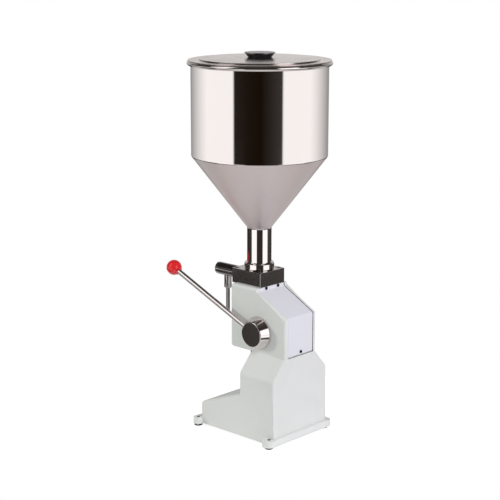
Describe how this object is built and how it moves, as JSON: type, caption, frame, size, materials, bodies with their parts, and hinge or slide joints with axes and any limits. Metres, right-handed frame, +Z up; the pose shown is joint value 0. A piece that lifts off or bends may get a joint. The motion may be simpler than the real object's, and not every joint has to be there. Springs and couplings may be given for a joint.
{
  "type": "piston liquid filler",
  "caption": "Bench-top hand-lever filler: conical steel hopper with lid on a valve block, piston pump in a painted stand, side lever with ball, forward discharge pipe and drop nozzle.",
  "frame": {"origin": "centre of the four bench bolt holes, on the table plane", "axes": "+Z up; -Y is the front, where the nozzle is; +X is the lever side"},
  "size_m": [0.2869, 0.3495, 0.7707],
  "materials": {
    "painted_casting": "semi-gloss",
    "painted_sheet": "semi-gloss",
    "hopper_steel": "fine satin polish",
    "lid_steel": "polished",
    "block_steel": "dark mirror polish",
    "bright_steel": "mirror polish",
    "machined_steel": "fine turned",
    "dark_steel": "oiled",
    "bronze": "turned",
    "black_rubber": "matt",
    "red_plastic": "gloss",
    "black_plastic": "satin",
    "white_plastic": "satin"
  },
  "bodies": {
    "frame": {"stand": "painted_casting", "rubber_feet": "black_rubber", "back_cover": "painted_sheet", "cover_screws": "dark_steel", "valve_block": "block_steel", "block_screws": "machined_steel", "pump_cylinder": "machined_steel", "cylinder_seal": "black_rubber", "inlet_seat": "machined_steel", "spring_plate": "machined_steel", "inlet_spring": "machined_steel", "hopper": "hopper_steel", "neck_seal": "white_plastic", "hopper_collar": "bright_steel", "discharge_pipe": "bright_steel", "pipe_cap": "bright_steel", "outlet_seat": "machined_steel", "outlet_spring": "machined_steel", "nozzle_nut": "bright_steel", "nozzle_washer": "white_plastic", "nozzle_tube": "bright_steel", "shaft_bushes": "bronze", "floor_bush": "bronze", "stop_guide": "machined_steel", "guide_screws": "dark_steel"},
    "lever": {"lever_shaft": "machined_steel", "shaft_clip": "dark_steel", "cam_arm": "machined_steel", "arm_screws": "dark_steel", "lever_hub": "bright_steel", "hub_screw": "dark_steel", "lever_rod": "bright_steel", "lever_ball": "red_plastic"},
    "piston": {"piston": "bright_steel", "piston_seal": "black_rubber", "piston_rod": "machined_steel", "crosshead": "machined_steel", "crosshead_pin": "machined_steel", "pin_clips": "dark_steel"},
    "inlet_ball": {"inlet_ball": "bright_steel"},
    "outlet_ball": {"outlet_ball": "bright_steel"},
    "stop_wheel": {"stop_wheel": "black_plastic", "wheel_clip": "dark_steel"},
    "stop_rod": {"stop_rod": "machined_steel"},
    "lid": {"lid": "lid_steel", "lid_knob": "black_plastic", "knob_cap": "bright_steel", "knob_screw": "machined_steel"}
  },
  "joints": [
    {"name": "lever_swing", "type": "hinge", "parent": "frame", "child": "lever", "pos_m": [0, 0.0345, 0.218], "axis": [1, 0, 0], "range_deg": [-5.72, 51.56]},
    {"name": "piston_stroke", "type": "slide", "parent": "frame", "child": "piston", "axis": [0, 0, -1], "range_m": [-0.0026, 0.0234]},
    {"name": "inlet_valve", "type": "slide", "parent": "frame", "child": "inlet_ball", "axis": [0, 0, -1], "range_m": [0, 0.003], "stiffness_N_per_m": 200, "springref_m": -0.004, "deforming": ["inlet_spring"]},
    {"name": "outlet_valve", "type": "slide", "parent": "frame", "child": "outlet_ball", "axis": [0, -1, 0], "range_m": [0, 0.003], "stiffness_N_per_m": 200, "springref_m": -0.004, "deforming": ["outlet_spring"]},
    {"name": "stop_turn", "type": "hinge", "parent": "frame", "child": "stop_wheel", "pos_m": [0, -0.0055, 0.164], "axis": [0, 0, 1], "range_deg": [0, 1081]},
    {"name": "stop_lift", "type": "slide", "parent": "frame", "child": "stop_rod", "axis": [0, 0, -1], "range_m": [0, 0.012]},
    {"name": "lid_lift", "type": "slide", "parent": "frame", "child": "lid", "axis": [0, 0, 1], "range_m": [0, 0.12]}
  ],
  "couplings": [
    {"joint": "piston_stroke", "follows": "lever_swing", "m_per_rad": 0.026},
    {"joint": "stop_turn", "follows": "stop_lift", "rad_per_m": 1570.8}
  ]
}
